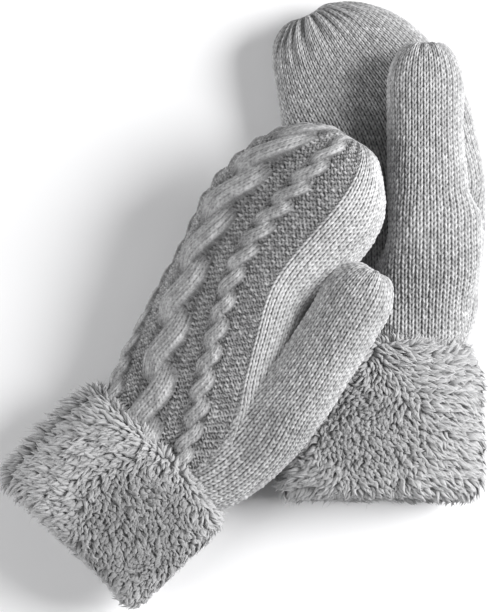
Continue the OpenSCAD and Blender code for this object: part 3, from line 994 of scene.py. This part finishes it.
# ---- Materials ----
class Nodes:
    """A short way to wire a material's nodes."""

    def __init__(self, name):
        self.material = bpy.data.materials.new(name)
        self.material.use_nodes = True
        self.tree = self.material.node_tree
        self.shader = self.tree.nodes["Principled BSDF"]

    def add(self, kind, **inputs):
        node = self.tree.nodes.new(kind)
        for key, value in inputs.items():
            if key in node.inputs.keys():
                self.put(node.inputs[key], value)
            else:
                setattr(node, key, value)
        return node

    def put(self, socket, value):
        if isinstance(value, bpy.types.NodeSocket):
            self.tree.links.new(value, socket)
        else:
            socket.default_value = value

    def maths(self, operation, a, b=0.0, c=0.0):
        node = self.add("ShaderNodeMath", operation=operation)
        for socket, value in zip(node.inputs, (a, b, c)):
            self.put(socket, value)
        return node.outputs[0]

    def attribute(self, name):
        return self.add("ShaderNodeAttribute", attribute_name=name).outputs["Fac"]

    def noise(self, scale, detail=2.0, roughness=0.6):
        where = self.add("ShaderNodeTexCoord").outputs["Object"]
        node = self.add("ShaderNodeTexNoise", Vector=where, Scale=scale, Detail=detail, Roughness=roughness)
        return node.outputs["Fac"]

    def total(self, start, *terms):
        """start plus each term's value times its share."""
        for value, share in terms:
            start = self.maths("MULTIPLY_ADD", value, share, start)
        return start

    def dye(self, value, stops):
        """The base colour from a value, through (value, grey or colour) stops."""
        node = self.add("ShaderNodeValToRGB", Fac=value)
        elements = node.color_ramp.elements
        while len(elements) < len(stops):
            elements.new(0.5)
        for element, (at, grey) in zip(elements, stops):
            element.position = at
            element.color = (*grey, 1) if hasattr(grey, "__len__") else (grey, grey, grey * 1.01, 1)
        self.put(self.shader.inputs["Base Color"], node.outputs["Color"])

    def bump(self, height, strength, distance):
        node = self.add("ShaderNodeBump", Height=height, Strength=strength, Distance=distance)
        self.put(self.shader.inputs["Normal"], node.outputs["Normal"])


def cloth_base(name, roughness, sheen):
    n = Nodes(name)
    for key, value in (
        ("Roughness", roughness), ("Specular IOR Level", 0.15),
        ("Sheen Weight", sheen), ("Sheen Roughness", 0.5), ("Sheen Tint", (0.9, 0.9, 0.92, 1)),
    ):
        n.put(n.shader.inputs[key], value)
    return n


def pile_material():
    """Curled pile: painted shade at the tufts' roots, between the tufts, running to pale at their tips;
    curled pile is painted darker than combed.
    """
    n = cloth_base("sherpa_pile", 0.85, 0.3)
    value = n.total(
        0.08, (n.attribute("along"), 0.38), (n.attribute("ridge"), 0.16), (n.attribute("tone"), 0.40),
        (n.maths("SUBTRACT", n.noise(1800), 0.5), 0.45),
    )
    n.dye(value, [(0.0, 0.10), (0.25, 0.20), (0.6, 0.38), (1.0, 0.58)])
    n.bump(n.noise(3200, 2.0, 0.7), 0.4, 0.0003)
    return n.material


def fleece_material():
    """Brushed fleece lining with a soft, clumped nap."""
    n = cloth_base("fleece_lining", 0.9, 0.4)
    value = n.total(0.0, (n.noise(520, 3.0, 0.7), 0.7), (n.noise(90, 1.0), 0.3))
    n.dye(value, [(0.25, 0.22), (0.5, 0.36), (0.75, 0.5)])
    n.bump(n.noise(1700, 3.0, 0.7), 0.6, 0.0006)
    return n.material


def thread_material():
    """Sewing thread and draw yarn: fine fibres along each ply."""
    n = cloth_base("grey_thread", 0.7, 0.3)
    value = n.total(0.0, (n.noise(2400, 3.0, 0.7), 0.6), (n.noise(300, 1.0), 0.4))
    n.dye(value, [(0.3, 0.12), (0.5, 0.2), (0.7, 0.32)])
    n.bump(n.noise(4200, 2.0, 0.7), 0.4, 0.0002)
    return n.material


def label_material():
    """Off-white woven tape: fine crossed threads, a little soiled."""
    n = cloth_base("woven_label", 0.6, 0.15)
    where = n.add("ShaderNodeTexCoord").outputs["Object"]
    weave = [
        n.add("ShaderNodeTexWave", Vector=where, Scale=900.0, Distortion=0.6, bands_direction=axis)
        for axis in ("X", "Y")
    ]
    threads = n.maths("MAXIMUM", *(wave.outputs["Fac"] for wave in weave))
    value = n.maths("MULTIPLY_ADD", threads, 0.3, n.maths("MULTIPLY", n.noise(220, 3.0, 0.6), 0.7))
    n.dye(value, [(0.2, (0.62, 0.61, 0.57)), (0.5, (0.76, 0.75, 0.71)), (0.8, (0.85, 0.84, 0.81))])
    n.bump(threads, 0.4, 0.0002)
    return n.material


def knit_material():
    """Heather yarn: pale and dark fibres spun together, with painted shade between the stitches and painted
    light on the ropes and the plain strip.
    """
    n = cloth_base("heather_knit", 0.92, 0.25)
    fibres, clouds = n.maths("SUBTRACT", n.noise(1500, 3.0, 0.7), 0.5), n.noise(160)
    value = n.total(
        -0.03, (n.attribute("relief"), 0.80), (fibres, 0.6), (n.attribute("tone"), 0.16), (clouds, 0.14))
    n.dye(value, [(0.0, 0.06), (0.3, 0.17), (0.6, 0.37), (0.95, 0.68)])
    n.bump(n.noise(2600, 2.0, 0.7), 0.35, 0.0004)
    return n.material


# ---- Camera, floor and lights ----
LOOK_AT = Vector((0, 0, 0.025))
VIEW_HEIGHT = 0.34272  # metres from the picture's bottom to its top
CAMERA_DISTANCE, CAMERA_ELEVATION = 2.6, 84.0


def aimed(data, place, toward):
    """An object at a place, facing that way."""
    obj = bpy.data.objects.new(data.name, data)
    obj.location = place
    obj.rotation_mode = "QUATERNION"
    obj.rotation_quaternion = toward.to_track_quat("-Z", "Y")
    bpy.context.scene.collection.objects.link(obj)
    return obj


def make_camera():
    data = bpy.data.cameras.new("camera")
    data.lens = data.sensor_width * CAMERA_DISTANCE / VIEW_HEIGHT
    e = math.radians(CAMERA_ELEVATION)
    back = Vector((0, -math.cos(e), math.sin(e)))
    bpy.context.scene.camera = aimed(data, LOOK_AT + back * CAMERA_DISTANCE, -back)


def area_light(name, place, size, power):
    data = bpy.data.lights.new(name, "AREA")
    data.shape, data.size, data.energy = "DISK", size, power
    aimed(data, place, LOOK_AT - Vector(place))


def make_studio():
    world = bpy.data.worlds.new("studio")
    world.use_nodes = True
    sky = world.node_tree.nodes["Background"].inputs
    sky["Color"].default_value, sky["Strength"].default_value = (1, 1, 1, 1), 0.235
    bpy.context.scene.world = world
    bpy.context.scene.view_settings.view_transform = "Standard"
    area_light("key", (1.7, 0.2, 1.05), 1.4, 73)
    area_light("fill", (-1.4, -0.4, 0.9), 1.2, 16)
    bpy.ops.mesh.primitive_plane_add(size=30.0)
    floor = bpy.context.object
    floor.name = "floor"
    paper = Nodes("pale_floor")
    paper.dye(paper.noise(9, 1.0), [(0.3, 0.90), (0.7, 0.93)])
    paper.shader.inputs["Roughness"].default_value = 0.95
    floor.data.materials.append(paper.material)


TIP_YARN_IN, THUMB_YARN_IN = KNIT_T + 4.3, KNIT_T + 2.5
BEND_FROM, BEND_TO = 50.0, 82.0  # the stretch of the thumb's root between these stations; its end points are worked out but not used


def build_mitten(name, knit, pile, fleece, thread, woven):
    """A mitten's pieces, each with its material and its body; the CAD nodes that they stand for are hidden.
    """
    m = Mitten(name)
    m.hand_l += m.longer  # for the knit hand only
    if m.tip_tilt:
        find_pole(m)
    start, end = (m.spot(s, m.thumb_x(s), m.thumb_z(s)) * MM for s in (BEND_FROM, BEND_TO))
    hands = build_knit_hand(m)
    m.hand_l -= m.longer
    thumb = build_knit_thumb(m)
    cuffs = build_cuff(m)
    lining, thumb_lining = build_lining(m, "hand"), build_lining(m, "thumb")
    seams, (label, stitches) = build_seams(m), build_label(m)
    tip_s, thumb_tip_s = m.hand_l + min(m.longer, 0) - TIP_YARN_IN, m.thumb_l - THUMB_YARN_IN
    tip_yarn = draw_ring(f"{name}_tip_yarn", m, tip_s, 0, 0, 2.2)
    thumb_yarn = draw_ring(
        f"{name}_thumb_yarn", m, thumb_tip_s, m.thumb_x(thumb_tip_s), m.thumb_z(thumb_tip_s), 1.6)
    for pieces, material, slot_name in (
        ([*hands, thumb], knit, "knit"), (cuffs, pile, "pile"), ([lining, thumb_lining], fleece, "fleece"),
        ([seams, stitches, tip_yarn, thumb_yarn], thread, "thread"), ([label], woven, "label"),
    ):
        for piece in pieces:
            piece.data.materials.append(material)
    body = f"{name}_mitten"
    for piece in (*hands, *cuffs, lining, seams, label, stitches, tip_yarn):
        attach(piece, body)
    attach(thumb_yarn, f"{name}_thumb")
    for piece in (thumb, thumb_lining):
        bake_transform(piece)
    top, under = ("palm", "back") if m.palm_up else ("back", "palm")
    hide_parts(f"{name}_knit_hand")
    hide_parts(f"{name}_knit_thumb")
    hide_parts(f"{name}_cuff_{top}_panel")
    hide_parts(f"{name}_cuff_{under}_panel")
    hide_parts(f"{name}_fleece_hand")
    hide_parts(f"{name}_fleece_thumb")
    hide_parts(f"{name}_cuff_side_seams", f"{name}_cuff_fold_seam")
    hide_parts(f"{name}_tip_draw_yarn")
    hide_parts(f"{name}_thumb_draw_yarn")
    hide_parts(f"{name}_care_label")


make_camera()
make_studio()
materials = knit_material(), pile_material(), fleece_material(), thread_material(), label_material()
for name in ("left", "right"):
    build_mitten(name, *materials)
